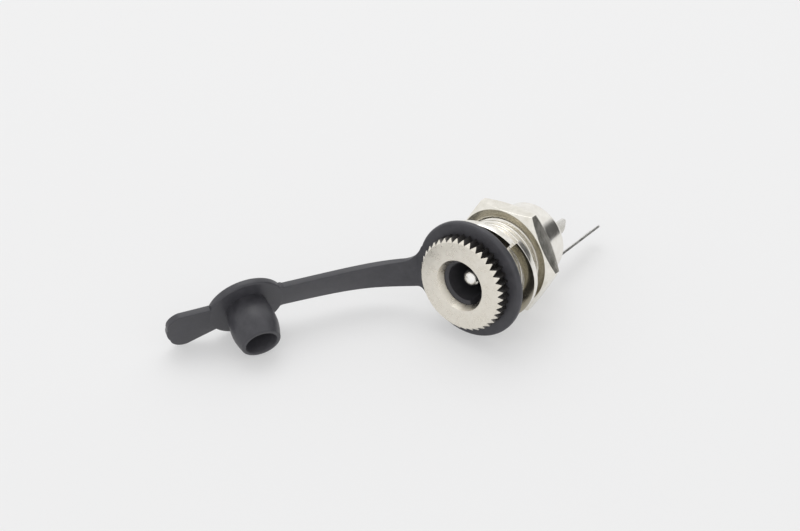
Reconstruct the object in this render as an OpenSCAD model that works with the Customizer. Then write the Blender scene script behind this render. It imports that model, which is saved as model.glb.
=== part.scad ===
// DC power socket for panel mounting, with a tethered rubber dust cap.
// Frame: origin on the socket's axis in the plane where the rubber ring meets the panel,
// +Y points to the rear (solder side), +Z up. The dust cap's strap leaves towards -X.

/* [Flange] */
// Diameter over the tips of the knurled flange
flange_d = 14; // [13.4:0.1:18]
// Thickness of the flange
flange_t = 2.1; // [1.8:0.1:4]
// Number of teeth in the knurl
knurl_teeth = 40; // [24:1:60]
// Direction of one tooth's tip round the axis, from +Z towards +X
knurl_angle = 5.6; // [0:0.1:15]
// Depth of the V grooves between the teeth
groove_depth = 0.55; // [0.3:0.05:0.7]
// Height of the bevel that runs the teeth out into the front face
bevel_h = 0.57; // [0.3:0.01:1]

/* [Barrel] */
// Outside diameter of the panel thread
thread_d = 12; // [11.7:0.1:13]
// Length of the thread behind the panel seat
thread_l = 10; // [8:0.1:14]
// Lead of the thread, which is how far the nut moves in one turn
thread_pitch = 1; // [0.75:0.25:1.5]
// Diameter of the smooth tail behind the thread
tail_d = 11.1; // [10.8:0.1:11.6]
// Length of the smooth tail
tail_l = 5.2; // [3:0.1:9]
// Radius of the tail's rolled rear edge
tail_round = 0.6; // [0.3:0.05:0.65]
// Wall of the metal shell round the insulator
shell_wall = 0.7; // [0.66:0.02:0.9]

/* [Socket] */
// Diameter of the hole in the front face
mouth_d = 6.65; // [6.2:0.05:7.4]
// Diameter of the countersink round that hole
countersink_d = 7.65; // [7.45:0.05:9]
// Depth of the countersink
countersink_h = 1.04; // [0.5:0.01:1.1]
// Thickness of the front wall that the insulator seats against
lip_t = 1.15; // [1.1:0.05:1.7]
// Barrel diameter of the plug that the socket takes
plug_d = 5.5; // [5:0.1:5.7]
// Radial room round that plug in the insulator
plug_room = 0.1; // [0.05:0.01:0.2]
// Depth of the plug's bore, from the front face
socket_depth = 11.5; // [9:0.1:14]
// Diameter of the centre pin
pin_d = 2.5; // [2:0.1:2.6]
// How far the pin's tip lies behind the front face
pin_recess = 2.1; // [1.4:0.1:4]
// Length of the pin's domed tip
pin_dome = 0.9; // [0.4:0.1:1.2]

/* [Terminals] */
// Sheet thickness of the sleeve contact
spring_t = 0.3; // [0.2:0.05:0.35]
// Width of the sleeve contact and its lug
spring_w = 2.4; // [1.8:0.1:2.5]
// Distance of the sleeve contact from the axis
spring_r = 4.51; // [4.4:0.01:4.55]
// How far the contact bows inwards to press on the plug
spring_bow = 1.62; // [1.2:0.01:1.7]
// Direction of the sleeve contact round the axis, from +Z towards +X
spring_angle = 131.6; // [0:0.1:359]
// Length of the sleeve lug behind the shell
sleeve_lug_l = 13.2; // [6:0.1:20]
// Inward bend of the sleeve lug
lug_bend = 1.7; // [0:0.1:4]
// Sheet thickness of the pin's lug
pin_lug_t = 0.35; // [0.25:0.05:0.45]
// Width of the pin's lug
pin_lug_w = 2.4; // [2:0.1:3]
// Length of the pin's lug behind the shell
pin_lug_l = 6.3; // [4:0.1:10]
// Radius of the pin lug's two end corners
pin_lug_corner = 0.8; // [0.2:0.05:1]
// Diameter of the solder holes
solder_hole_d = 1.1; // [0.7:0.1:1.4]

/* [Rubber cap] */
// Outside diameter of the ring under the flange
ring_d = 17.3; // [16:0.1:22]
// Thickness of the ring
ring_t = 1.1; // [0.7:0.05:2]
// Rounding of the ring's outer edges
ring_round = 0.45; // [0.1:0.05:0.5]
// Rounding of the cap disc's outer edges
disc_round = 0.3; // [0.1:0.05:0.4]
// Length of the strap from the ring's rim to the cap disc's rim
strap_l = 21; // [12:0.1:40]
// Width of the strap at the ring
strap_w = 4.6; // [3:0.1:6]
// How much narrower the strap is where it meets the cap
strap_taper = 0.3; // [0:0.1:1.2]
// How far the strap's lower edge draws in as it nears the ring
root_draw = 0.6; // [0:0.05:0.8]
// Length over which it draws in
root_draw_l = 6.5; // [3:0.1:9]
// Thickness of the strap, tab and cap disc
strap_t = 1; // [0.6:0.05:1.4]
// Radius of the fillet that blends the strap's upper edge into the ring
upper_fillet = 4.5; // [2:0.1:6]
// Radius of the fillet that blends the strap's lower edge into the ring
lower_fillet = 1.5; // [0.5:0.1:6]
// Radius of the fillet that blends the strap's upper edge into the cap disc
upper_cap_fillet = 0.4; // [0.3:0.1:3]
// Radius of the fillet that blends the strap's lower edge into the cap disc
lower_cap_fillet = 1.1; // [0.3:0.1:3]
// How far the strap has curled forwards where it meets the cap
strap_curl = 60.5; // [0:0.5:90]
// Droop of the strap where it leaves the ring
droop_root = 18; // [-30:0.5:40]
// Droop of the strap where it meets the cap
droop_tip = 3.7; // [-30:0.5:40]
// Twist of the strap from the ring to the cap
strap_twist = 22; // [0:0.5:60]
// Sideways lean of the whole cap at the end of the strap
cap_lean = -8; // [-20:1:20]
// Further lean of the pull tab on the cap's disc
tab_lean = -6; // [-20:1:20]
// Width of the pull tab where it leaves the disc
tab_root_w = 5; // [3:0.1:6]
// Diameter of the cap's disc
disc_d = 11.2; // [9:0.1:16]
// Diameter of the plug's widest part, a light push fit in the socket's mouth
stopper_d = 6.8; // [6.2:0.05:7.6]
// Length of the plug in front of the disc
stopper_l = 6.3; // [4:0.1:9]
// Diameter of the plug's hollow
hollow_d = 4.4; // [3:0.1:5]
// Length of the pull tab beyond the disc
tab_l = 6.2; // [4:0.1:10]
// Width of the pull tab at its end
tab_w = 7; // [5:0.1:8]
// Radius of the pull tab's end corners
tab_corner = 2.2; // [1:0.1:2.4]

/* [Nut and washer] */
// Size across the nut's flats
nut_af = 15; // [14.5:0.1:19]
// Thickness of the nut
nut_t = 2.5; // [2:0.1:4]
// How far the nut's front face lies behind the panel seat
nut_y = 7.2; // [6.6:0.05:7.4]
// Angle that the nut is turned to, from a flat facing down
nut_angle = -4; // [-30:1:30]
// Outside diameter of the split washer
washer_d = 16.1; // [15:0.1:19]
// Thickness of the split washer
washer_t = 1; // [0.8:0.05:1.2]
// How far the washer's middle lies behind the panel seat
washer_y = 2.8; // [2.75:0.05:4]
// Axial offset between the two ends of the split
washer_spring = 1.15; // [0.4:0.05:1.4]
// How far the washer leans back at its rim, as it hangs loose on the thread
washer_lean = 1.4; // [0:0.05:1.5]
// Direction that the washer leans back in, from +Z towards +X
lean_angle = 131; // [0:1:359]
// Gap between the two ends of the split
split_gap = 0.5; // [0.2:0.1:2]
// Direction of the split round the axis, from +Z towards +X
split_angle = 36; // [0:1:359]

/* [Hidden] */
// Radial and axial running gaps between pieces that move
running_gap = 0.06;
// Gap between pieces that are assembled and stay put
fit_gap = 0.02;
// How far cutting tools reach past a face
past = 1;
nickel = "#c9c6bd";
bright_nickel = "#dcdad3";
tinned = "#d6d4cf";
bakelite = "#26262a";
rubber = "#3b3b40";

// The bevel ends just outside the grooves' roots, so that a thin plain rim is left round the face
face_rim = 0.05;
face_r = flange_d / 2 - groove_depth + face_rim;
front_z = -(flange_t + ring_t);
tail_z = thread_l + tail_l;
bore_r = tail_d / 2 - shell_wall;
lip_z = front_z + lip_t;
floor_z = front_z + socket_depth;
insulator_z = tail_z - tail_round;
plug_r = plug_d / 2 + plug_room;

// Turns a module drawn along +Z so that it lies along +Y, with local -Y upwards
module along_axis() {
    rotate([-90, 0, 0]) children();
}

// Points of an arc from angle a to angle b
function arc(centre, r, a, b, steps = 6) =
    [for (i = [0 : steps]) centre + r * [cos(a + (b - a) * i / steps), sin(a + (b - a) * i / steps)]];

// ---- Shell: one turned piece, with the knurled flange, the threaded barrel and the tail ----

module knurled_disc() {
    root_r = flange_d / 2 - groove_depth;
    rotate([0, 0, knurl_angle - 90]) linear_extrude(flange_t)
        polygon([for (i = [0 : 2 * knurl_teeth - 1])
            (i % 2 == 0 ? flange_d / 2 : root_r) * [cos(180 * i / knurl_teeth), sin(180 * i / knurl_teeth)]]);
}

module flange() {
    translate([0, 0, front_z]) intersection() {
        knurled_disc();
        rotate_extrude($fn = 96)
            polygon([[0, 0], [face_r, 0], [flange_d / 2, bevel_h], [flange_d / 2 + past, bevel_h],
                [flange_d / 2 + past, flange_t], [0, flange_t]]);
    }
}

module barrel() {
    chamfer = thread_pitch * 0.5;
    thread_r = thread_d / 2;
    tail_r = tail_d / 2;
    rotate_extrude($fn = 96)
        polygon(concat(
            [[0, front_z + flange_t / 2], [thread_r, front_z + flange_t / 2],
             [thread_r, thread_l - chamfer], [tail_r, thread_l]],
            arc([tail_r - tail_round, tail_z - tail_round], tail_round, 0, 90),
            [[0, tail_z]]));
}

module socket_bore() {
    rotate_extrude($fn = 96)
        polygon([[0, front_z - past], [countersink_d / 2, front_z - past], [countersink_d / 2, front_z],
            [mouth_d / 2, front_z + countersink_h], [mouth_d / 2, lip_z], [bore_r, lip_z],
            [bore_r, tail_z + past], [0, tail_z + past]]);
}

module shell() {
    color(nickel) along_axis() difference() {
        union() {
            flange();
            barrel();
        }
        socket_bore();
    }
}

// ---- Insulator: moulded insert that holds the pin and the sleeve contact ----

// Sector of the insulator cut away for the sleeve contact, from radius inner outwards
module contact_slot(inner, z0, z1) {
    rotate([0, 0, spring_angle - 90])
        translate([inner, -spring_w / 2 - fit_gap, z0])
            cube([bore_r, spring_w + 2 * fit_gap, z1 - z0]);
}

module insulator() {
    r = bore_r - fit_gap;
    lead_in = 0.35;
    // The slot in front reaches well into the plug's bore, where the contact bows inwards
    slot_inner = 0.6 * plug_r;
    color(bakelite) along_axis() difference() {
        rotate_extrude($fn = 96)
            polygon([[pin_tail_r, floor_z], [plug_r, floor_z], [plug_r, lip_z + lead_in],
                [plug_r + lead_in, lip_z + fit_gap], [r, lip_z + fit_gap], [r, insulator_z],
                [pin_tail_r, insulator_z]]);
        contact_slot(slot_inner, lip_z - past, floor_z - fit_gap);
        contact_slot(spring_r - spring_t / 2 - fit_gap, floor_z - past, insulator_z + past);
    }
}

// ---- Centre pin: turned, with a domed tip, a collar on the bore's floor and a riveted tail ----

pin_tail_r = 0.85;
collar_r = pin_d / 2 + 0.45;
collar_t = 0.8;
rivet_r = 1.15;
rivet_t = 0.35;
rivet_edge = 0.3;

module centre_pin() {
    r = pin_d / 2;
    tip_z = front_z + pin_recess;
    lug_z = insulator_z + pin_lug_t;
    steps = 8;
    dome = [for (i = [0 : steps]) [r * sin(90 * i / steps), tip_z + pin_dome * (1 - cos(90 * i / steps))]];
    color(bright_nickel) along_axis()
        rotate_extrude($fn = 64)
            polygon(concat(dome,
                [[r, floor_z - collar_t - fit_gap], [collar_r, floor_z - collar_t - fit_gap],
                 [collar_r, floor_z - fit_gap], [pin_tail_r - fit_gap, floor_z - fit_gap],
                 [pin_tail_r - fit_gap, lug_z + 2 * fit_gap], [rivet_r, lug_z + 2 * fit_gap],
                 [rivet_r - rivet_edge, lug_z + 2 * fit_gap + rivet_t], [0, lug_z + 2 * fit_gap + rivet_t]]));
}

// ---- Pin lug: plate under the rivet, bent backwards into a solder tab with rounded corners ----

module pin_lug() {
    tab_x = rivet_r + 2 * fit_gap;
    plate_z = insulator_z + fit_gap;
    tab_end = tail_z + pin_lug_l;
    corner_y = pin_lug_w / 2 - pin_lug_corner;
    corner_z = tab_end - pin_lug_corner;
    color(tinned) along_axis() {
        difference() {
            union() {
                translate([0, 0, plate_z]) cylinder(r = pin_lug_w / 2, h = pin_lug_t, $fn = 64);
                translate([0, -pin_lug_w / 2, plate_z]) cube([tab_x + pin_lug_t, pin_lug_w, pin_lug_t]);
            }
            translate([0, 0, plate_z - past]) cylinder(r = pin_tail_r, h = pin_lug_t + 2 * past, $fn = 48);
        }
        difference() {
            union() {
                translate([tab_x, -pin_lug_w / 2, plate_z])
                    cube([pin_lug_t, pin_lug_w, corner_z - plate_z]);
                translate([tab_x, -corner_y, plate_z])
                    cube([pin_lug_t, 2 * corner_y, tab_end - plate_z]);
                for (side = [-1, 1])
                    translate([tab_x, side * corner_y, corner_z]) rotate([0, 90, 0])
                        cylinder(r = pin_lug_corner, h = pin_lug_t, $fn = 48);
            }
            translate([tab_x - past, 0, tail_z + pin_lug_l / 2]) rotate([0, 90, 0])
                cylinder(d = solder_hole_d, h = pin_lug_t + 2 * past, $fn = 32);
        }
    }
}

// ---- Sleeve contact: one strip, bowed into the bore in front and a long lug behind ----

// Radius of the strip's middle line at height z: a raised-cosine bow, then straight, then bent
function strip_r(z, bow_z0, bow_z1) =
    z < bow_z1 ? spring_r - spring_bow * (1 - cos(360 * (z - bow_z0) / (bow_z1 - bow_z0))) / 2
    : z < tail_z ? spring_r
    : spring_r - (z - tail_z) * tan(lug_bend);

module sleeve_contact() {
    front_room = 0.6;
    rear_room = 1;
    bow_z0 = lip_z + front_room;
    bow_z1 = floor_z - rear_room;
    end_z = tail_z + sleeve_lug_l;
    tip_r = spring_w / 2;
    steps = 16;
    stations = concat([for (i = [0 : steps]) bow_z0 + (bow_z1 - bow_z0) * i / steps], [tail_z, end_z]);
    inner = [for (z = stations) [strip_r(z, bow_z0, bow_z1) - spring_t / 2, z]];
    outer = [for (i = [len(stations) - 1 : -1 : 0])
        [strip_r(stations[i], bow_z0, bow_z1) + spring_t / 2, stations[i]]];
    color(tinned) along_axis() rotate([0, 0, spring_angle - 90]) difference() {
        rotate([90, 0, 0]) translate([0, 0, -spring_w / 2])
            linear_extrude(spring_w) polygon(concat(inner, outer));
        // The lug's end is cut to a half round
        difference() {
            translate([0, -spring_w, end_z - tip_r]) cube([2 * spring_r, 2 * spring_w, 2 * tip_r]);
            translate([-past, 0, end_z - tip_r]) rotate([0, 90, 0])
                cylinder(r = tip_r, h = 2 * (spring_r + past), $fn = 64);
        }
        translate([0, 0, end_z - 2 * tip_r]) rotate([0, 90, 0])
            cylinder(d = solder_hole_d, h = 2 * spring_r, $fn = 32);
    }
}

// ---- Dust cap: ring, strap, disc, plug and pull tab, moulded as one piece of rubber ----

ring_r = ring_d / 2;
disc_r = disc_d / 2;
ring_w = ring_r - thread_d / 2;
// How far the disc's rim laps over the end of the strap's middle line
disc_lap = 0.15;
disc_t = strap_t + 0.1;
strap_steps = 28;
strap_ds = strap_l / strap_steps;

// The curl, droop and twist build up quickly at the ring and ease off towards the cap
function ease(u) = u <= 0 ? 0 : 1 - pow(1 - min(u, 1), 3.2);
function curl(u) = strap_curl * ease(u);
function droop(u) = droop_root + (droop_tip - droop_root) * ease(u);
function twist(u) = strap_twist * ease(u);

// Directions of the strap at u: along it, across its front face, and across its width
function along(u) = [-cos(curl(u)) * cos(droop(u)), -sin(curl(u)) * cos(droop(u)), -sin(droop(u))];
function level(u) = [sin(curl(u)), -cos(curl(u)), 0];
function facing(u) = level(u) * cos(twist(u)) - cross(along(u), level(u)) * sin(twist(u));
function across(u) = cross(along(u), facing(u));

// Middle line: starts at the ring's rim and steps along the strap's direction
ring_y = -ring_t / 2;
strap_start = ring_r * along(0) + [0, ring_y, 0];
strap_line = [for (i = 0, p = strap_start; i <= strap_steps;
    p = p + strap_ds * along((i + 0.5) / strap_steps), i = i + 1) p];

// Widening of one edge by a fillet of radius f that touches the edge and a round rim, at distance d
// outside that rim. Nearer than the fillet's start it keeps the width that it has there.
function flare(d, half, rim, f) =
    let (c = sqrt(pow(rim + f, 2) - pow(half + f, 2)), end = c - rim, start = c * rim / (rim + f) - rim,
        x = max(d, start))
    x >= end ? 0 : f - sqrt(pow(f, 2) - pow(end - x, 2));

// Half width of the strap at distance s from the ring's rim, for an edge that is w at the root and has
// fillets f0 and f1
tip_half = (strap_w - strap_taper) / 2;
function half_width(s, w, f0, f1) =
    strap_w / 2 - strap_taper / 2 * max(s, 0) / strap_l
    + flare(s, w, ring_r, f0) + flare(strap_l - disc_lap - s, tip_half, disc_r, f1);
function upper_half(s) = half_width(s, strap_w / 2, upper_fillet, upper_cap_fillet);
function lower_half(s) = half_width(s, strap_w / 2 - root_draw, lower_fillet, lower_cap_fillet)
    - root_draw * pow(1 - min(max(s, 0) / root_draw_l, 1), 2);

// Octagonal section: a flat strip with its four long edges taken off
strap_edge = 0.1;
function section(p, n, w, up, down) = let (t = strap_t / 2, e = strap_edge)
    [for (c = [[-t, up - e], [-t + e, up], [t - e, up], [t, up - e],
               [t, e - down], [t - e, -down], [e - t, -down], [-t, e - down]])
        p + n * c[0] + w * c[1]];

// Side faces between ring k of eight points and the next, and the two ends
function skin(rings) =
    [for (k = [0 : rings - 2]) for (j = [0 : 7]) each
        [[8 * k + j, 8 * k + (j + 1) % 8, 8 * k + 8 + j],
         [8 * k + (j + 1) % 8, 8 * k + 8 + (j + 1) % 8, 8 * k + 8 + j]]];

// Section at distance s from the ring's rim; past either end of the line it goes straight on
function station(s, p) = let (u = s / strap_l)
    section(p, facing(u), across(u), upper_half(s), lower_half(s));

module strap() {
    stem = [for (s = [-ring_w * 0.45, -1.2, -0.8, -0.4]) station(s, strap_start + s * along(0))];
    run = [for (i = [0 : strap_steps - 1]) station(i * strap_ds, strap_line[i])];
    tail = [for (s = [0, 0.2, 0.4, 1.2])
        section(strap_line[strap_steps] + s * along(1), facing(1), across(1),
            upper_half(strap_l + s), lower_half(strap_l + s))];
    rings = concat(stem, run, tail);
    n = len(rings);
    polyhedron(
        points = [for (r = rings) each r],
        faces = concat([[for (j = [7 : -1 : 0]) j]], skin(n), [[for (j = [0 : 7]) 8 * (n - 1) + j]]));
}

module ring() {
    inner_r = thread_d / 2 + running_gap;
    y0 = -ring_t + running_gap;
    e = min(ring_round, 0.45 * ring_t);
    along_axis() rotate_extrude($fn = 96)
        polygon(concat([[inner_r, y0]], arc([ring_r - e, y0 + e], e, -90, 0), arc([ring_r - e, -e], e, 0, 90),
            [[inner_r, 0]]));
}

// Small stub that the moulding gate leaves on the ring's rear face, near its rim
module gate_stub() {
    stub = [0.7, 1, 0.35];
    inset = 0.6;
    root = 0.3;
    stub_angle = 86;
    along_axis() rotate([0, 0, stub_angle - 90])
        translate([ring_r - inset - stub[0], -stub[1] / 2, -root]) cube(stub + [0, 0, root]);
}

// Plug: neck, barrelled bulge and tapered mouth, in one profile of radius against height. The neck
// swells as a quarter sine to the widest part, and the nose draws in again as a quarter cosine.
module stopper() {
    r = stopper_d / 2;
    neck_r = r - 0.35;
    mouth_r = r - 0.5;
    lip = 0.3;
    root = 0.3;
    chamfer = 0.2;
    bulge_z = root + 0.5 * stopper_l;
    hollow = hollow_d / 2;
    hollow_floor = 1.2;
    steps = 6;
    neck = [for (i = [0 : steps])
        [neck_r + (r - neck_r) * sin(90 * i / steps), root + (bulge_z - root) * i / steps]];
    nose = [for (i = [1 : steps]) let (u = i / steps)
        [r - (r - mouth_r) * (1 - cos(90 * u)), bulge_z + (stopper_l - lip - bulge_z) * u]];
    rotate_extrude($fn = 80)
        polygon(concat([[0, -root], [neck_r, -root]], neck, nose,
            arc([mouth_r - lip, stopper_l - lip], lip, 0, 90, 4),
            [[hollow + chamfer, stopper_l], [hollow, stopper_l - chamfer], [hollow, hollow_floor],
             [0, hollow_floor]]));
}

// Disc: flat, with its rim rounded like the ring's
module cap_disc() {
    e = min(disc_round, 0.45 * disc_t);
    rotate_extrude($fn = 96)
        polygon(concat([[0, -disc_t]], arc([disc_r - e, e - disc_t], e, -90, 0),
            arc([disc_r - e, -e], e, 0, 90), [[0, 0]]));
}

// Pull tab: a paddle that widens to a nearly straight end with rounded corners
module pull_tab() {
    half = tab_w / 2;
    root = tab_root_w / 2;
    root_x = disc_r - 1;
    end_x = disc_r + tab_l;
    crown = 0.25;
    corner = [end_x - crown - tab_corner, half - tab_corner];
    end = [for (i = [-4 : 4]) [end_x - crown * pow(i / 4, 2), corner[1] * i / 4]];
    rotate([0, 0, -tab_lean]) translate([0, 0, -strap_t]) linear_extrude(strap_t)
        polygon(concat([[root_x, root], [root_x, -root]],
            arc([corner[0], -corner[1]], tab_corner, -90, 0), end, arc(corner, tab_corner, 0, 90)));
}

// Places a cap drawn with +Z out of its front face and +X towards the pull tab
module at_strap_end() {
    t = along(1) * cos(cap_lean) + across(1) * sin(cap_lean);
    n = facing(1);
    s = cross(n, t);
    c = strap_line[strap_steps] + (disc_r - disc_lap) * t + n * strap_t / 2;
    multmatrix([[t[0], s[0], n[0], c[0]], [t[1], s[1], n[1], c[1]], [t[2], s[2], n[2], c[2]]])
        children();
}

module dust_cap() {
    color(rubber) {
        ring();
        gate_stub();
        strap();
        at_strap_end() {
            cap_disc();
            stopper();
            pull_tab();
        }
    }
}

// ---- Split lock washer: a flat bar wound through just under one turn, its ends sprung apart ----

module lock_washer() {
    thread_r = thread_d / 2;
    outer_r = washer_d / 2;
    lean = asin(washer_lean / outer_r);
    // The bore is wide enough for the washer to lean without touching the thread
    inner_r = thread_r + 2 * running_gap + (washer_spring + washer_t) / 2 * sin(lean)
        + thread_r * (1 - cos(lean));
    steps = 60;
    gap_deg = split_gap / outer_r * 180 / PI;
    // Station i: angle goes round from one end of the split to the other as the height falls evenly
    angle = [for (i = [0 : steps]) split_angle + gap_deg / 2 + (360 - gap_deg) * i / steps];
    height = [for (i = [0 : steps]) washer_spring * (0.5 - i / steps) - washer_t / 2];
    edge = 0.08;
    bar = [[inner_r, 0], [outer_r - edge, 0], [outer_r, edge], [outer_r, washer_t - edge],
        [outer_r - edge, washer_t], [inner_r, washer_t]];
    n = len(bar);
    points = [for (i = [0 : steps]) for (b = bar)
        [b[0] * sin(angle[i]), height[i] + b[1], b[0] * cos(angle[i])]];
    sides = [for (i = [0 : steps - 1]) for (j = [0 : n - 1]) each
        [[n * i + j, n * i + (j + 1) % n, n * i + n + j],
         [n * i + (j + 1) % n, n * i + n + (j + 1) % n, n * i + n + j]]];
    color(bright_nickel) translate([0, washer_y, 0])
        rotate(a = lean, v = [-cos(lean_angle), 0, sin(lean_angle)])
            polyhedron(points = points,
                faces = concat([[for (j = [n - 1 : -1 : 0]) j]], sides, [[for (j = [0 : n - 1]) n * steps + j]]));
}

// ---- Hexagon nut, chamfered on both faces ----

module hex_nut() {
    corner_r = nut_af / 2 / cos(30);
    // The chamfer cone starts just inside the flats
    chamfer_r = nut_af / 2 * 0.98;
    drop = (corner_r - chamfer_r) * tan(30);
    bore = thread_d / 2 + running_gap;
    lead = 0.3;
    color(nickel) along_axis() translate([0, 0, nut_y]) difference() {
        intersection() {
            rotate([0, 0, nut_angle]) cylinder(r = corner_r, h = nut_t, $fn = 6);
            rotate_extrude($fn = 96)
                polygon([[0, 0], [chamfer_r, 0], [corner_r, drop], [corner_r, nut_t - drop],
                    [chamfer_r, nut_t], [0, nut_t]]);
        }
        rotate_extrude($fn = 96)
            polygon([[0, -past], [bore + lead, -past], [bore + lead, 0], [bore, lead], [bore, nut_t - lead],
                [bore + lead, nut_t], [bore + lead, nut_t + past], [0, nut_t + past]]);
    }
}

shell();
insulator();
centre_pin();
pin_lug();
sleeve_contact();
dust_cap();
lock_washer();
hex_nut();
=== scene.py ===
# Looks of a panel-mount DC power socket with its tethered rubber dust cap.
# Lengths in this file are millimetres; meshOf turns them into metres. Angles round the axis
# are in degrees from +Z towards +X, and the socket's axis is +Y, pointing to the solder side.
import math
import bpy
import bmesh
import numpy as np
from mathutils import Matrix, Vector


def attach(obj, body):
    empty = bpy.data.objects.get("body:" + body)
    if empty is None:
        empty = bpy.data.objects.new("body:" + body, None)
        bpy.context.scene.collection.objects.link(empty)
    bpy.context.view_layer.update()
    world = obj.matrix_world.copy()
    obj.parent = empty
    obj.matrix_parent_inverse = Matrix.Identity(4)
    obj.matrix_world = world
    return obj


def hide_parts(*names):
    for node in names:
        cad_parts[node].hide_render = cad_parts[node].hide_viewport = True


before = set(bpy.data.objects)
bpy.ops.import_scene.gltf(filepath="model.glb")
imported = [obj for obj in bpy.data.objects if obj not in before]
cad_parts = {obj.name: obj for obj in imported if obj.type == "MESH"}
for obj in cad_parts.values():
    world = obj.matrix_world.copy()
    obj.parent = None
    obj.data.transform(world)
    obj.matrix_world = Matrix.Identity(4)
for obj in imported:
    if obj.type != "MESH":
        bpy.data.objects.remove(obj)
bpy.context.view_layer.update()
print("frame loaded:", sorted(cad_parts))


def gridQuads(rows, cols, closeRows=False, closeCols=False):
    # quad (i,j): points (i,j), (i,j+1), (i+1,j+1), (i+1,j), with the index wrapped where the grid closes
    i, j = np.meshgrid(np.arange(rows if closeRows else rows - 1),
                       np.arange(cols if closeCols else cols - 1), indexing="ij")
    i2, j2 = (i + 1) % rows, (j + 1) % cols
    return np.stack([i * cols + j, i * cols + j2, i2 * cols + j2, i2 * cols + j], -1).reshape(-1, 4)


def outward(points, quads):
    # volume = sum of a.(b x c)/6 over the triangles; a negative one means the faces point inwards
    tri = np.concatenate([quads[:, [0, 1, 2]], quads[:, [0, 2, 3]]])
    a, b, c = points[tri[:, 0]], points[tri[:, 1]], points[tri[:, 2]]
    volume = np.einsum("ij,ij->i", a, np.cross(b, c)).sum() / 6
    return quads if volume > 0 else quads[:, ::-1]


def meshOf(name, sheets, scale=0.001):
    # sheets: (rows x cols x 3 points, closeRows, closeCols); all are joined into one mesh
    allPoints, allQuads, start = [], [], 0
    for points, closeRows, closeCols in sheets:
        rows, cols = points.shape[:2]
        flat = points.reshape(-1, 3)
        allQuads.append(outward(flat, gridQuads(rows, cols, closeRows, closeCols)) + start)
        allPoints.append(flat)
        start += len(flat)
    points, quads = np.concatenate(allPoints) * scale, np.concatenate(allQuads)
    mesh = bpy.data.meshes.new(name)
    mesh.vertices.add(len(points))
    mesh.vertices.foreach_set("co", points.astype(np.float32).ravel())
    mesh.loops.add(quads.size)
    mesh.loops.foreach_set("vertex_index", quads.astype(np.int32).ravel())
    mesh.polygons.add(len(quads))
    mesh.polygons.foreach_set("loop_start", np.arange(0, quads.size, 4, dtype=np.int32))
    mesh.update(calc_edges=True)
    work = bmesh.new()
    work.from_mesh(mesh)
    bmesh.ops.remove_doubles(work, verts=work.verts, dist=1e-4 * scale)
    work.to_mesh(mesh)
    work.free()
    mesh.update()
    return mesh


def placePiece(name, mesh, body, material, nodes=(), crease=32):
    piece = bpy.data.objects.new(name, mesh)
    bpy.context.scene.collection.objects.link(piece)
    mesh.materials.clear()
    mesh.materials.append(material)
    mesh.shade_smooth()
    mesh.set_sharp_from_angle(angle=math.radians(crease))
    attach(piece, body)
    if nodes:
        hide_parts(*nodes)
    print("piece", name, len(mesh.polygons), "faces")


def softCorners(corners, soft, steps=3):
    # each corner c of a closed profile becomes the curve (1-t)^2 a + 2t(1-t) c + t^2 b,
    # where a and b lie the distance soft before and after it; corners is K x columns x 2
    corners = np.asarray(corners, float)
    before, after = np.roll(corners, 1, 0) - corners, np.roll(corners, -1, 0) - corners
    out = []
    for k, s in enumerate(soft):
        lb = np.linalg.norm(before[k], axis=-1, keepdims=True)
        la = np.linalg.norm(after[k], axis=-1, keepdims=True)
        a = corners[k] + before[k] / np.maximum(lb, 1e-9) * np.minimum(s, 0.45 * lb)
        b = corners[k] + after[k] / np.maximum(la, 1e-9) * np.minimum(s, 0.45 * la)
        for t in np.linspace(0, 1, steps + 1):
            out.append((1 - t) ** 2 * a + 2 * t * (1 - t) * corners[k] + t * t * b)
    return np.stack(out)


def turned(profile, angles):
    # profile (rows x columns x (r, y)) carried round the axis: x = r sin(a), z = r cos(a)
    r, y = profile[..., 0], profile[..., 1]
    a = np.radians(angles)[None, :]
    r, y = np.broadcast_to(r, (len(r), a.shape[1])), np.broadcast_to(y, (len(y), a.shape[1]))
    return np.stack([r * np.sin(a), y, r * np.cos(a)], -1)


def columnsOf(count):
    return np.arange(count) * 360.0 / count


def constant(values, count):
    # a list of (r, y) corners repeated for every column
    return np.repeat(np.asarray(values, float)[:, None, :], count, axis=1)


def nodeMaker(tree):
    def make(kind, inputs=None, **settings):
        made = tree.nodes.new(kind)
        for key, value in settings.items():
            setattr(made, key, value)
        for key, value in (inputs or {}).items():
            if isinstance(value, bpy.types.NodeSocket):
                tree.links.new(value, made.inputs[key])
            else:
                made.inputs[key].default_value = value
        return made
    return make


def newMaterial(name):
    material = bpy.data.materials.new(name)
    material.use_nodes = True
    material.node_tree.nodes.clear()
    return material, nodeMaker(material.node_tree)


def colourBetween(make, factor, low, high, lowAt=0.3, highAt=0.7):
    ramp = make("ShaderNodeValToRGB", {"Fac": factor})
    ramp.color_ramp.elements[0].position, ramp.color_ramp.elements[1].position = lowAt, highAt
    ramp.color_ramp.elements[0].color, ramp.color_ramp.elements[1].color = (*low, 1), (*high, 1)
    return ramp.outputs["Color"]


def mixColours(make, share, low, high):
    return make("ShaderNodeMix", {"Factor": share, "A": low, "B": (*high, 1)},
                data_type="RGBA").outputs["Result"]


def rangeOf(make, value, low, high, fromLow=0.0, fromHigh=1.0):
    return make("ShaderNodeMapRange", {"Value": value, "From Min": fromLow, "From Max": fromHigh,
                                       "To Min": low, "To Max": high}).outputs["Result"]


# Plated metal: a mottled tone, fine grain in the finish and turning marks round the axis; some metals add
# painted shade and reflection on faces towards -Y. Scales are per metre, the bump's depth is in metres and
# frontFrom, frontTo are cosines.
platedMetal = dict(mottleScale=900.0, mottleLow=0.25, mottleHigh=0.65, grainScale=9000.0, turningScale=9000.0,
                   grimeScale=2600.0, grimeFrom=0.6, grimeTo=0.72, grimeTone=(0.10, 0.085, 0.06),
                   frontFrom=0.9, frontTo=0.98, bumpStrength=0.35, bumpDepth=0.00002)


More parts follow.
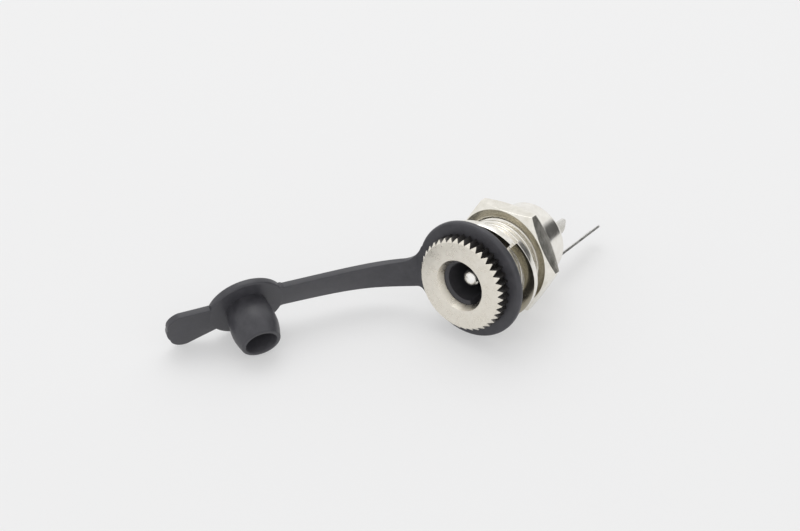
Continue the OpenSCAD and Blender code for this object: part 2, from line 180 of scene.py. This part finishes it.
def makeMetal(name, tone, darkTone, rough, roughSpread=0.08, grain=0.15, turning=0.0, grime=0.0,
              paintedFrontShade=None, grooveShade=None):
    # paintedFrontShade, a painted shade and reflection, takes over where the face points to -Y, as -normal.y
    # rises from frontFrom to frontTo; grooveShade paints shade over what lies outside fromR and behind the cone
    # y = frontY + bevel (r - faceR) / (tipR - faceR)
    m = platedMetal
    material, make = newMaterial(name)
    place = make("ShaderNodeTexCoord").outputs["Object"]
    mottle = make("ShaderNodeTexNoise", {"Vector": place, "Scale": m["mottleScale"],
                                         "Detail": 5.0, "Roughness": 0.6}).outputs["Fac"]
    fine = make("ShaderNodeTexNoise", {"Vector": place, "Scale": m["grainScale"],
                                       "Detail": 3.0, "Roughness": 0.65}).outputs["Fac"]
    colour = colourBetween(make, mottle, darkTone, tone, m["mottleLow"], m["mottleHigh"])
    if grime:
        spots = make("ShaderNodeTexNoise", {"Vector": place, "Scale": m["grimeScale"], "Detail": 6.0,
                                            "Roughness": 0.7}).outputs["Fac"]
        share = rangeOf(make, spots, 0.0, grime, m["grimeFrom"], m["grimeTo"])
        colour = mixColours(make, share, colour, m["grimeTone"])
    # painted shade and reflection: faces towards -Y take a darker olive tone
    if paintedFrontShade:
        normal = make("ShaderNodeTexCoord").outputs["Normal"]
        facing = make("ShaderNodeVectorMath", {0: normal, 1: (0, -1, 0)},
                      operation="DOT_PRODUCT").outputs["Value"]
        share = rangeOf(make, facing, 0.0, 1.0, m["frontFrom"], m["frontTo"])
        colour = mixColours(make, share, colour, paintedFrontShade)
    # painted shade: the recesses between the knurl's teeth are darkened
    if grooveShade:
        flatten = make("ShaderNodeVectorMath", {0: place, 1: (1, 0, 1)},
                       operation="MULTIPLY").outputs["Vector"]
        radius = make("ShaderNodeVectorMath", {0: flatten}, operation="LENGTH").outputs["Value"]
        depth = make("ShaderNodeVectorMath", {0: place, 1: (0, 1, 0)},
                     operation="DOT_PRODUCT").outputs["Value"]
        cone = rangeOf(make, radius, grooveShade["frontY"], grooveShade["frontY"] + grooveShade["bevel"],
                       grooveShade["faceR"], grooveShade["tipR"])
        behind = make("ShaderNodeMath", {0: depth, 1: cone}, operation="SUBTRACT").outputs["Value"]
        dark = make("ShaderNodeMath", {
            0: rangeOf(make, behind, 0.0, 1.0, grooveShade["lightTo"], grooveShade["darkFrom"]),
            1: rangeOf(make, radius, 0.0, 1.0, grooveShade["fromR"], grooveShade["fullR"])},
                    operation="MULTIPLY").outputs["Value"]
        colour = mixColours(make, dark, colour, grooveShade["tone"])
    height = make("ShaderNodeMath", {0: fine, 1: grain}, operation="MULTIPLY").outputs["Value"]
    if turning:
        rings = make("ShaderNodeTexWave", {"Vector": place, "Scale": m["turningScale"],
                                           "Distortion": 1.5, "Detail": 2.0},
                     wave_type="RINGS", rings_direction="Y").outputs["Fac"]
        height = make("ShaderNodeMath", {0: rings, 1: turning, 2: height},
                      operation="MULTIPLY_ADD").outputs["Value"]
    bump = make("ShaderNodeBump", {"Height": height, "Strength": m["bumpStrength"],
                                   "Distance": m["bumpDepth"]})
    shader = make("ShaderNodeBsdfPrincipled", {
        "Base Color": colour, "Metallic": 1.0, "Normal": bump.outputs["Normal"],
        "Roughness": rangeOf(make, mottle, rough - roughSpread, rough + roughSpread, 0.3, 0.7)})
    make("ShaderNodeOutputMaterial", {"Surface": shader.outputs["BSDF"]})
    return material


# Painted shade in the grooves between the knurl's teeth, in metres
knurlGrooveShade = dict(frontY=-0.0032, bevel=0.00057, faceR=0.0065, tipR=0.007, fromR=0.0061, fullR=0.0063,
                    lightTo=0.00002, darkFrom=0.00012, tone=(0.20, 0.19, 0.18))

# the flange's knurl grooves carry painted shade
nickelSatin = makeMetal("nickelSatin", (0.83, 0.79, 0.71), (0.745, 0.705, 0.62), 0.30, grain=0.5, turning=0.35,
                        grooveShade=knurlGrooveShade)
nickelBright = makeMetal("nickelBright", (0.92, 0.90, 0.85), (0.82, 0.79, 0.73), 0.17, 0.05, grain=0.25,
                         turning=0.3)
# the nut's and washer's faces towards -Y carry a painted shade and reflection tone; the washer's grime spots are
# dirt
nutNickel = makeMetal("nutNickel", (0.90, 0.875, 0.81), (0.78, 0.75, 0.67), 0.22, 0.06, grain=0.5,
                      paintedFrontShade=(0.42, 0.39, 0.31))
washerSteel = makeMetal("washerSteel", (0.92, 0.90, 0.85), (0.76, 0.73, 0.66), 0.20, 0.06, grain=0.35, grime=0.5,
                        paintedFrontShade=(0.36, 0.33, 0.25))
pinNickel = makeMetal("pinNickel", (0.98, 0.97, 0.94), (0.93, 0.91, 0.87), 0.24, 0.05, grain=0.2, turning=0.2)
lugTin = makeMetal("lugTin", (0.80, 0.79, 0.76), (0.66, 0.65, 0.62), 0.26, 0.07, grain=0.4)


# Moulded rubber: near-black, satin, with a fine bloom, pores and a little pale dust
rubberLook = dict(bloomScale=700.0, poreScale=7000.0, dark=(0.036, 0.036, 0.042),
                  light=(0.056, 0.055, 0.063), smooth=0.34, dull=0.5,
                  dustScale=1500.0, dustArea=420.0, dustTone=(0.22, 0.21, 0.19), poreDepth=0.00003)


def makeRubber():
    # a speck is where the distance to a cell's point is under 0.03 to 0.07, inside dusty areas only
    look = rubberLook
    material, make = newMaterial("blackRubber")
    place = make("ShaderNodeTexCoord").outputs["Object"]
    bloom = make("ShaderNodeTexNoise", {"Vector": place, "Scale": look["bloomScale"], "Detail": 5.0,
                                        "Roughness": 0.6}).outputs["Fac"]
    pores = make("ShaderNodeTexNoise", {"Vector": place, "Scale": look["poreScale"], "Detail": 3.0,
                                        "Roughness": 0.6}).outputs["Fac"]
    specks = make("ShaderNodeTexVoronoi", {"Vector": place, "Scale": look["dustScale"], "Randomness": 1.0},
                  feature="F1").outputs["Distance"]
    area = make("ShaderNodeTexNoise", {"Vector": place, "Scale": look["dustArea"],
                                       "Detail": 2.0}).outputs["Fac"]
    dust = make("ShaderNodeMath", {0: rangeOf(make, specks, 1.0, 0.0, 0.03, 0.07),
                                   1: rangeOf(make, area, 0.0, 0.5, 0.55, 0.7)},
                operation="MULTIPLY", use_clamp=True).outputs["Value"]
    colour = mixColours(make, dust, colourBetween(make, bloom, look["dark"], look["light"]), look["dustTone"])
    bump = make("ShaderNodeBump", {"Height": pores, "Strength": 0.25, "Distance": look["poreDepth"]})
    shader = make("ShaderNodeBsdfPrincipled", {
        "Base Color": colour, "Roughness": rangeOf(make, bloom, look["smooth"], look["dull"], 0.3, 0.7),
        "Normal": bump.outputs["Normal"]})
    make("ShaderNodeOutputMaterial", {"Surface": shader.outputs["BSDF"]})
    return material


# Pressed phenolic: black with a faint brown-grey fleck, satin
phenolicLook = dict(fleckScale=3000.0, dark=(0.036, 0.036, 0.041), light=(0.058, 0.056, 0.062),
                    smooth=0.38, dull=0.55, fleckDepth=0.00003)


def makePhenolic():
    look = phenolicLook
    material, make = newMaterial("blackPhenolic")
    place = make("ShaderNodeTexCoord").outputs["Object"]
    fleck = make("ShaderNodeTexNoise", {"Vector": place, "Scale": look["fleckScale"], "Detail": 6.0,
                                        "Roughness": 0.7}).outputs["Fac"]
    bump = make("ShaderNodeBump", {"Height": fleck, "Strength": 0.2, "Distance": look["fleckDepth"]})
    shader = make("ShaderNodeBsdfPrincipled", {
        "Base Color": colourBetween(make, fleck, look["dark"], look["light"]),
        "Roughness": rangeOf(make, fleck, look["smooth"], look["dull"], 0.3, 0.7),
        "Normal": bump.outputs["Normal"]})
    make("ShaderNodeOutputMaterial", {"Surface": shader.outputs["BSDF"]})
    return material


blackRubber, blackPhenolic = makeRubber(), makePhenolic()


def dressNode(node, material):
    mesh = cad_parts[node].data
    mesh.materials.clear()
    mesh.materials.append(material)


for node, material in (("insulator", blackPhenolic), ("centre_pin", pinNickel), ("pin_lug", lugTin),
                       ("sleeve_contact", lugTin), ("hex_nut", nutNickel), ("lock_washer", washerSteel)):
    dressNode(node, material)
print("materials made")


camera = dict(place=(140.3, -222.7, 160.2), right=(0.7986, 0.5979, 0.0684), up=(-0.3580, 0.3805, 0.8527),
              forward=(-0.4838, 0.7055, -0.518), lens=99.0, sensor=36.0)


def makeCamera():
    # the camera's axes are columns of its matrix: right, up, and back = -forward
    forward = Vector(camera["forward"]).normalized()
    right = Vector(camera["right"])
    right = (right - forward * right.dot(forward)).normalized()
    up = right.cross(forward)
    lens = bpy.data.cameras.new("camera")
    lens.lens, lens.sensor_width, lens.clip_start, lens.clip_end = camera["lens"], camera["sensor"], 0.01, 10
    holder = bpy.data.objects.new("camera", lens)
    holder.matrix_world = Matrix((right, up, -forward)).transposed().to_4x4()
    holder.location = Vector(camera["place"]) * 0.001
    bpy.context.scene.collection.objects.link(holder)
    bpy.context.scene.camera = holder


makeCamera()


flange = dict(frontY=-3.2, rearY=-1.1, tipR=7.0, rootR=6.45, faceR=6.5, bevel=0.57, teeth=40, firstTooth=5.6,
              mouthR=3.325, sinkR=3.825, sinkY=-2.16, lipY=-2.05, insideR=5.2, columnsPerTooth=12,
              sharpness=0.985, rimLift=0.002, edges=(0.02, 0.02, 0.03, 0.03, 0.03, 0.03, 0.0, 0.0))


def makeFlange():
    # tooth wave w in -1..1 is arcsin(k sin a)/arcsin(k), a triangle with slightly eased tips;
    # each column's profile is face, bevel cone, tooth flank, back
    f = flange
    count = f["teeth"] * f["columnsPerTooth"]
    angles = columnsOf(count)
    wave = np.arcsin(f["sharpness"] * np.cos(np.radians(angles * f["teeth"]))) / math.asin(f["sharpness"])
    toothR = f["rootR"] + (f["tipR"] - f["rootR"]) * (wave + 1) / 2
    faceR = np.minimum(f["faceR"], toothR)
    bevelY = f["frontY"] + (toothR - faceR) / (f["tipR"] - f["faceR"]) * f["bevel"]
    flat = np.ones(count)
    corners = np.stack([
        np.stack([f["mouthR"] * flat, f["lipY"] * flat], -1),
        np.stack([f["mouthR"] * flat, f["sinkY"] * flat], -1),
        np.stack([f["sinkR"] * flat, f["frontY"] * flat], -1),
        np.stack([faceR, f["frontY"] * flat], -1),
        np.stack([toothR, bevelY + f["rimLift"]], -1),
        np.stack([toothR, f["rearY"] * flat], -1),
        np.stack([f["insideR"] * flat, f["rearY"] * flat], -1),
        np.stack([f["insideR"] * flat, f["lipY"] * flat], -1)])
    profile = softCorners(corners, f["edges"])
    return meshOf("flangeKnurl", [(turned(profile, angles + f["firstTooth"]), True, True)])


barrel = dict(startY=-1.4, threadR=6.0, threadStart=0.4, threadEnd=10.0, pitch=1.0, depth=0.55, chamfer=0.5,
              tailR=5.55, tailEnd=15.2, tailRound=0.6,
              boreR=4.85, boreEdge=0.06, columns=288, rowsPerTurn=14, steepness=0.85, fadeLength=0.6)


def makeBarrel():
    # thread height h(y, a) = clamp(0.5 + steepness tri(y/pitch - a/360)), eased as 3h^2 - 2h^3; the radius
    # is threadR - depth (1 - h) fade, where fade grows from 0 to 1 over fadeLength, capped by the
    # chamfer cone
    b = barrel
    rows = int((b["threadEnd"] + 0.2 - b["startY"]) / b["pitch"] * b["rowsPerTurn"])
    y = np.linspace(b["startY"], b["threadEnd"], rows)[:, None]
    angles = columnsOf(b["columns"])
    turn = np.mod(y / b["pitch"] - angles[None, :] / 360, 1)
    ridge = np.clip(0.5 + b["steepness"] * (1 - 4 * np.abs(turn - 0.5)), 0, 1)
    ridge = ridge * ridge * (3 - 2 * ridge)
    fade = np.clip((y - b["threadStart"]) / b["fadeLength"], 0, 1)
    r = b["threadR"] - b["depth"] * (1 - ridge) * fade
    cone = b["tailR"] + (b["threadEnd"] - y) / b["chamfer"] * (b["threadR"] - b["tailR"])
    r = np.minimum(r, np.maximum(cone, b["tailR"] - 0.05))
    outside = np.stack([r, np.broadcast_to(y, r.shape)], -1)
    bend = np.radians(np.linspace(0, 90, 9))
    tail = [(b["tailR"], b["threadEnd"] + 0.08), (b["tailR"], b["threadEnd"] + 2.5)]
    tail += [(b["tailR"] - b["tailRound"] * (1 - math.cos(t)),
              b["tailEnd"] - b["tailRound"] * (1 - math.sin(t))) for t in bend]
    tail += [(b["boreR"] + b["boreEdge"], b["tailEnd"]), (b["boreR"], b["tailEnd"] - b["boreEdge"]),
             (b["boreR"], b["startY"])]
    profile = np.concatenate([outside, constant(tail, b["columns"])])
    return meshOf("threadedBarrel", [(turned(profile, angles), True, True)])


placePiece("flangeKnurl", makeFlange(), "socket", nickelSatin, ["shell"])
placePiece("threadedBarrel", makeBarrel(), "socket", nickelBright, crease=60)


nut = dict(halfFlats=7.5, cornerAngle=86.0, y=7.2, thickness=2.5, chamferR=7.35, chamferAngle=30.0, boreR=6.06,
           lead=0.3, columns=360, edges=(0.03, 0.03, 0.05, 0.05, 0.05, 0.05, 0.03, 0.03))


def makeNut():
    # hexagon radius halfFlats / cos(angle from the middle of the nearest flat); the chamfer cone rises
    # at chamferAngle from chamferR and meets it
    n = nut
    angles = columnsOf(n["columns"])
    hexR = n["halfFlats"] / np.cos(np.radians(np.mod(angles, 60) - 30))
    drop = (hexR - n["chamferR"]) * math.tan(math.radians(n["chamferAngle"]))
    flat = np.ones(n["columns"])
    front, rear = n["y"], n["y"] + n["thickness"]
    corners = np.stack([
        np.stack([n["boreR"] * flat, (front + n["lead"]) * flat], -1),
        np.stack([(n["boreR"] + n["lead"]) * flat, front * flat], -1),
        np.stack([n["chamferR"] * flat, front * flat], -1),
        np.stack([hexR, front + drop], -1),
        np.stack([hexR, rear - drop], -1),
        np.stack([n["chamferR"] * flat, rear * flat], -1),
        np.stack([(n["boreR"] + n["lead"]) * flat, rear * flat], -1),
        np.stack([n["boreR"] * flat, (rear - n["lead"]) * flat], -1)])
    profile = softCorners(corners, n["edges"])
    return meshOf("hexNut", [(turned(profile, angles + n["cornerAngle"]), True, True)])


placePiece("hexNut", makeNut(), "nut", nutNickel, ["hex_nut"], crease=20)


washer = dict(innerR=6.39, outerR=8.05, thickness=1.0, middleY=2.8, spring=1.15, gap=0.5, split=36.0, lean=1.4,
              leanAngle=131.0, soft=0.12, boreSoft=0.06, steps=360)


def makeWasher():
    # a bar of rounded section wound once round: at u in 0..1 the angle is split + gap/2 + (360-gap) u
    # and the front face lies at spring (1/2 - u) - thickness/2; the whole is then turned by
    # asin(lean / outerR) so that its side at leanAngle goes back
    w = washer
    gapAngle = math.degrees(w["gap"] / w["outerR"])
    u = np.linspace(0, 1, w["steps"])
    angles = w["split"] + gapAngle / 2 + (360 - gapAngle) * u
    front = w["spring"] * (0.5 - u) - w["thickness"] / 2
    t = w["thickness"]
    section = softCorners(constant([(w["innerR"], 0), (w["outerR"], 0),
                                    (w["outerR"], t), (w["innerR"], t)], 1),
                          [w["boreSoft"], w["soft"], w["soft"], w["boreSoft"]], 3)
    profile = np.repeat(section, w["steps"], axis=1)
    profile[..., 1] += front[None, :]
    middle = profile.mean(axis=0, keepdims=True)
    ends = np.concatenate([profile[:, :1] * 0 + middle[:, :1], profile,
                           profile[:, :1] * 0 + middle[:, -1:]], axis=1)
    angles = np.concatenate([angles[:1], angles, angles[-1:]])
    points = turned(ends, angles)
    side = np.radians(w["leanAngle"])
    toward = np.array([math.sin(side), 0, math.cos(side)])
    lean = math.asin(w["lean"] / w["outerR"])
    a, y = points @ toward, points[..., 1].copy()
    points = points + (a * math.cos(lean) - y * math.sin(lean) - a)[..., None] * toward
    points[..., 1] = a * math.sin(lean) + y * math.cos(lean) + w["middleY"]
    return meshOf("lockWasher", [(points, True, False)])


placePiece("lockWasher", makeWasher(), "washer", washerSteel, ["lock_washer"])


ring = dict(innerR=6.06, outerR=8.65, frontY=-1.04, rearY=0.0, soft=0.45, boreSoft=0.1)
# up and down hold the fillets of the upper and lower edge, at the ring and at the cap; the strap runs on
# inwards by rootIn and tipIn
strap = dict(length=21.0, width=4.6, taper=0.3, rootDraw=0.6, rootDrawL=6.5, thickness=1.0, up=(4.5, 0.4),
             down=(1.5, 1.1), rootIn=1.4, tipIn=1.2, curl=60.5, droopRoot=18.0, droopTip=3.7, twist=22.0,
             easePower=3.2, ringY=-0.55, edge=0.14, stations=160, lap=0.15)
cap = dict(lean=-8.0, tabLean=-6.0, discR=5.6, discT=1.1, discSoft=0.3, plugR=3.4, plugL=6.3, hollowR=2.2,
           floorH=1.2,
           neckIn=0.35, mouthIn=0.5, lip=0.3, base=0.3, hollowEdge=(0.15, 0.2),
           tabL=6.2, tabW=7.0, tabRoot=5.0, tabT=1.0, tabSoft=0.14, tabCorner=2.2, tabCrown=0.25, proud=0.02)
stub = dict(angle=86.0, outerR=8.05, innerR=7.35, width=1.0, height=0.35, root=0.3, edge=0.06)


def strapFrame(u):
    # curl, droop and twist grow as 1 - (1-u)^easePower; along is the strap's direction, facing its
    # front side and across its width
    s = strap
    ease = 1 - (1 - np.clip(u, 0, 1)) ** s["easePower"]
    curl, twist = np.radians(s["curl"] * ease), np.radians(s["twist"] * ease)
    droop = np.radians(s["droopRoot"] + (s["droopTip"] - s["droopRoot"]) * ease)
    along = np.stack([-np.cos(curl) * np.cos(droop), -np.sin(curl) * np.cos(droop), -np.sin(droop)], -1)
    level = np.stack([np.sin(curl), -np.cos(curl), 0 * curl], -1)
    facing = level * np.cos(twist)[..., None] - np.cross(along, level) * np.sin(twist)[..., None]
    return along, facing, np.cross(along, facing)


def strapLine(stations):
    # middle line: starts on the ring's rim and adds length/stations along the direction at each half step
    u = (np.arange(stations) + 0.5) / stations
    along = strapFrame(u)[0]
    start = ring["outerR"] * strapFrame(np.array([0.0]))[0][0] + np.array([0, strap["ringY"], 0])
    return np.concatenate([[start], start + np.cumsum(along, 0) * strap["length"] / stations])


def flare(d, half, rim, f):
    # widening by a fillet of radius f that touches a rim of that radius and an edge half off the middle:
    # f - sqrt(f^2 - (end - d)^2) up to end = sqrt((rim+f)^2 - (half+f)^2) - rim
    c = math.sqrt((rim + f) ** 2 - (half + f) ** 2)
    end, start = c - rim, c * rim / (rim + f) - rim
    x = np.maximum(d, start)
    return np.where(x >= end, 0, f - np.sqrt(np.maximum(f * f - np.clip(end - x, 0, f) ** 2, 0)))


def halfWidth(s, fillets, draw):
    # straight taper, flared into the ring and into the cap's disc; draw narrows the root by
    # draw (1 - s/rootDrawL)^2
    tip = (strap["width"] - strap["taper"]) / 2
    half = strap["width"] / 2 - strap["taper"] / 2 * np.maximum(s, 0) / strap["length"]
    half = half - draw * (1 - np.clip(s / strap["rootDrawL"], 0, 1)) ** 2
    return half + flare(s, strap["width"] / 2 - draw, ring["outerR"], fillets[0]) \
        + flare(strap["length"] - strap["lap"] - s, tip, cap["discR"], fillets[1])


def strapSheet():
    # rounded strip section carried along the middle line; the two edges flare separately at the ends
    n = strap["stations"]
    line = strapLine(n)
    s = np.linspace(0, strap["length"], n + 1)
    first, last = strapFrame(np.zeros(1))[0][0], strapFrame(np.ones(1))[0][0]
    inner, outer = np.linspace(-strap["rootIn"], -0.1, 12), np.linspace(0.1, strap["tipIn"], 10)
    line = np.concatenate([line[0] + inner[:, None] * first, line, line[-1] + outer[:, None] * last])
    s = np.concatenate([inner, s, strap["length"] + outer])
    facing, across = strapFrame(np.clip(s / strap["length"], 0, 1))[1:]
    up, down = halfWidth(s, strap["up"], 0.0), halfWidth(s, strap["down"], strap["rootDraw"])
    t, e = strap["thickness"] / 2, strap["edge"]
    corner = np.radians(np.linspace(0, 90, 5))
    # section corners in order: (facing sign, across sign)
    offsets = []
    for fs, cs, sweep in ((1, 1, corner), (-1, 1, corner[::-1]), (-1, -1, corner), (1, -1, corner[::-1])):
        for q in sweep:
            offsets.append((fs * (t - e + e * math.cos(q)), cs, e - e * math.sin(q)))
    rows = []
    for f, side, inset in offsets:
        half = up if side > 0 else down
        rows.append(line + facing * f + across * (side * (half - inset))[:, None])
    sheet = np.stack(rows, axis=1)
    return closedEnds(sheet)


def closedEnds(sheet):
    # adds the middle of the first and last section as a closing row
    first, last = sheet[:1].mean(1, keepdims=True), sheet[-1:].mean(1, keepdims=True)
    n = sheet.shape[1]
    return np.concatenate([np.repeat(first, n, 1), sheet, np.repeat(last, n, 1)], 0)


def capPlacer():
    # the cap's own frame: third axis out of its front face, first towards the pull tab
    along, facing, across = (v[0] for v in strapFrame(np.array([1.0])))
    lean = math.radians(cap["lean"])
    t = along * math.cos(lean) + across * math.sin(lean)
    side = np.cross(facing, t)
    centre = strapLine(strap["stations"])[-1] + (cap["discR"] - strap["lap"]) * t \
        + facing * (strap["thickness"] / 2 + cap["proud"])
    return lambda p: p[..., :1] * t + p[..., 1:2] * side + p[..., 2:3] * facing + centre


def spun(profile, columns=120):
    # profile (r, h) carried round the cap's own third axis
    a = np.radians(columnsOf(columns))[None, :]
    r, h = profile[:, :1], profile[:, 1:]
    return np.stack([r * np.cos(a), r * np.sin(a), h + 0 * a], -1)


def discSheet():
    c = cap
    bend = np.radians(np.linspace(-90, 90, 13))
    e = c["discSoft"]
    rim = np.stack([c["discR"] - e + e * np.cos(bend),
                    np.where(bend < 0, -c["discT"] + e, -e) + e * np.sin(bend)], -1)
    return spun(np.concatenate([[(0, -c["discT"])], rim, [(0, 0)]]))


def plugSheet():
    # neck swelling to the bulge as a quarter sine, then tapering as a quarter cosine to a rounded mouth
    c = cap
    neckR, mouthR, lip, base = c["plugR"] - c["neckIn"], c["plugR"] - c["mouthIn"], c["lip"], c["base"]
    bulge = 0.5 * c["plugL"]
    u = np.linspace(0, 1, 14)
    neck = np.stack([neckR + (c["plugR"] - neckR) * np.sin(u * math.pi / 2), base + bulge * u], -1)
    nose = np.stack([c["plugR"] - (c["plugR"] - mouthR) * (1 - np.cos(u * math.pi / 2)),
                     base + bulge + (c["plugL"] - lip - base - bulge) * u], -1)[1:]
    bend = np.radians(np.linspace(0, 90, 6))[1:]
    lipArc = np.stack([mouthR - lip + lip * np.cos(bend), c["plugL"] - lip + lip * np.sin(bend)], -1)
    wide, deep = c["hollowEdge"]
    inside = [(c["hollowR"] + wide, c["plugL"]), (c["hollowR"], c["plugL"] - deep),
              (c["hollowR"], c["floorH"]), (0, c["floorH"])]
    return spun(np.concatenate([[(0, -base), (neckR, -base)], neck, nose, lipArc, inside]))


def tabSheet():
    # outline: a straight root, sides that widen, corner arcs and a crowned end x = endX - crown (y/reach)^2;
    # it shrinks towards its middle by a round edge on both faces
    c = cap
    half, root, k = c["tabW"] / 2, c["tabRoot"] / 2, c["tabCorner"]
    endX, startX = c["discR"] + c["tabL"], c["discR"] - 1
    lean = math.radians(-c["tabLean"])
    bend = np.radians(np.linspace(0, 90, 16))
    reachY = half - k
    cornerArc = np.stack([endX - c["tabCrown"] - k + k * np.cos(bend), reachY + k * np.sin(bend)], -1)
    y = np.linspace(-reachY, reachY, 15)[1:-1]
    end = np.stack([endX - c["tabCrown"] * (y / reachY) ** 2, y], -1)
    share = np.linspace(0, 1, 20)[:-1, None]
    rootCorner = np.array([startX, -root])
    rise = rootCorner + share * (np.array([endX - c["tabCrown"] - k, -half]) - rootCorner)
    outline = np.concatenate([rise, (cornerArc * [1, -1])[::-1], end, cornerArc, (rise * [1, -1])[::-1]])
    middle = np.array([(startX + endX) / 2 + 1, 0])
    out = outline - middle
    reach = np.linalg.norm(out, axis=1, keepdims=True)
    e, t = c["tabSoft"], c["tabT"]
    turn = np.radians(np.linspace(0, 90, 6))
    rows = [(None, 0)] + [(e - e * math.sin(q), e - e * math.cos(q)) for q in turn] \
        + [(e - e * math.cos(q), t - e + e * math.sin(q)) for q in turn] + [(None, t)]
    points = []
    for inset, h in rows:
        flat = np.repeat(middle[None], len(outline), 0) if inset is None \
            else middle + out * (1 - inset / reach)
        x = flat[:, 0] * math.cos(lean) - flat[:, 1] * math.sin(lean)
        y = flat[:, 0] * math.sin(lean) + flat[:, 1] * math.cos(lean)
        points.append(np.stack([x, y, np.full(len(x), h - c["tabT"] - c["proud"])], -1))
    return np.stack(points)


def stubSheet():
    # the moulding gate's stub: a small block on the ring's rear face, four corners by height
    a = math.radians(stub["angle"])
    out, along = np.array([math.sin(a), 0, math.cos(a)]), np.array([math.cos(a), 0, -math.sin(a)])
    rows = []
    for y, shrink in ((-stub["root"], 0.0), (stub["height"] - stub["edge"], 0.0),
                      (stub["height"], stub["edge"])):
        corners = [(stub["innerR"] + shrink, -1), (stub["outerR"] - shrink, -1), (stub["outerR"] - shrink, 1),
                   (stub["innerR"] + shrink, 1)]
        rows.append([out * r + along * side * (stub["width"] / 2 - shrink) + np.array([0, y, 0])
                     for r, side in corners])
    return closedEnds(np.array(rows))


def makeDustCap():
    # ring, strap, disc, plug, tab and stub are closed sheets that run into one another
    place = capPlacer()
    r = ring
    ringProfile = softCorners(constant([(r["innerR"], r["frontY"]), (r["outerR"], r["frontY"]),
                                        (r["outerR"], r["rearY"]), (r["innerR"], r["rearY"])], 1),
                              [r["boreSoft"], r["soft"], r["soft"], r["boreSoft"]], 8)
    return meshOf("dustCap", [(turned(ringProfile, columnsOf(240)), True, True), (strapSheet(), False, True),
                              (place(discSheet()), False, True), (place(plugSheet()), False, True),
                              (place(tabSheet()), False, True), (stubSheet(), False, True)])


placePiece("dustCap", makeDustCap(), "cap", blackRubber, ["dust_cap"], crease=50)


floor = dict(tiltY=0.1144, tiltX=0.027, halfSize=1.5, tone=(0.40, 0.40, 0.402), glow=0.43, roughness=0.75,
             specular=0.2)


def makeFloor():
    # plane z = z0 + tiltY y + tiltX x, with z0 as high as keeps every point of the object above it
    lowest = 1e9
    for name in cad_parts:
        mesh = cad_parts[name].data
        co = np.zeros(len(mesh.vertices) * 3, np.float32)
        mesh.vertices.foreach_get("co", co)
        co = co.reshape(-1, 3)
        lowest = min(lowest, float((co[:, 2] - floor["tiltY"] * co[:, 1] - floor["tiltX"] * co[:, 0]).min()))
    h = floor["halfSize"]
    corners = np.array([[[x, y, lowest + floor["tiltY"] * y + floor["tiltX"] * x] for x in (-h, h)]
                        for y in (-h, h)])
    mesh = bpy.data.meshes.new("floor")
    mesh.from_pydata(corners.reshape(-1, 3).tolist(), [], [(0, 1, 3, 2)])
    plane = bpy.data.objects.new("floor", mesh)
    bpy.context.scene.collection.objects.link(plane)
    material, make = newMaterial("paleFloor")
    shader = make("ShaderNodeBsdfPrincipled", {
        "Base Color": (*floor["tone"], 1), "Roughness": floor["roughness"],
        "Specular IOR Level": floor["specular"], "Emission Color": (1, 1, 1, 1),
        "Emission Strength": floor["glow"]})
    make("ShaderNodeOutputMaterial", {"Surface": shader.outputs["BSDF"]})
    mesh.materials.append(material)
    print("floor at", round(lowest * 1000, 3), "mm")


# A white room with a dim patch round one direction, given by the cosines from it, and one broad lamp above
studio = dict(sky=0.92, dim=0.10, dimToward=(0.66, 0.72, 0.20), dimFrom=0.84, dimFull=0.92, lamp=1.3,
              lampPlace=(-0.25, 0.15, 0.7), lampSize=0.6)


def areaLamp(name, place, target, size, power):
    light = bpy.data.lights.new(name, "AREA")
    light.shape, light.size, light.energy = "DISK", size, power
    lamp = bpy.data.objects.new(name, light)
    lamp.location = place
    lamp.rotation_euler = (Vector(target) - Vector(place)).to_track_quat("-Z", "Y").to_euler()
    bpy.context.scene.collection.objects.link(lamp)


def makeLight():
    # strength = sky, falling to dim as direction . dimToward rises from dimFrom to dimFull
    world = bpy.data.worlds.new("studio")
    bpy.context.scene.world = world
    world.use_nodes = True
    world.node_tree.nodes.clear()
    make = nodeMaker(world.node_tree)
    direction = make("ShaderNodeTexCoord").outputs["Generated"]
    patch = make("ShaderNodeVectorMath", {0: direction, 1: studio["dimToward"]},
                 operation="DOT_PRODUCT").outputs["Value"]
    shade = rangeOf(make, patch, studio["sky"], studio["dim"], studio["dimFrom"], studio["dimFull"])
    back = make("ShaderNodeBackground", {"Color": (1, 1, 1, 1), "Strength": shade})
    make("ShaderNodeOutputWorld", {"Surface": back.outputs["Background"]})
    areaLamp("overhead", studio["lampPlace"], (0, 0, 0), studio["lampSize"], studio["lamp"])


makeFloor()
makeLight()
bpy.context.scene.view_settings.view_transform = "Standard"
print("stage and light made")
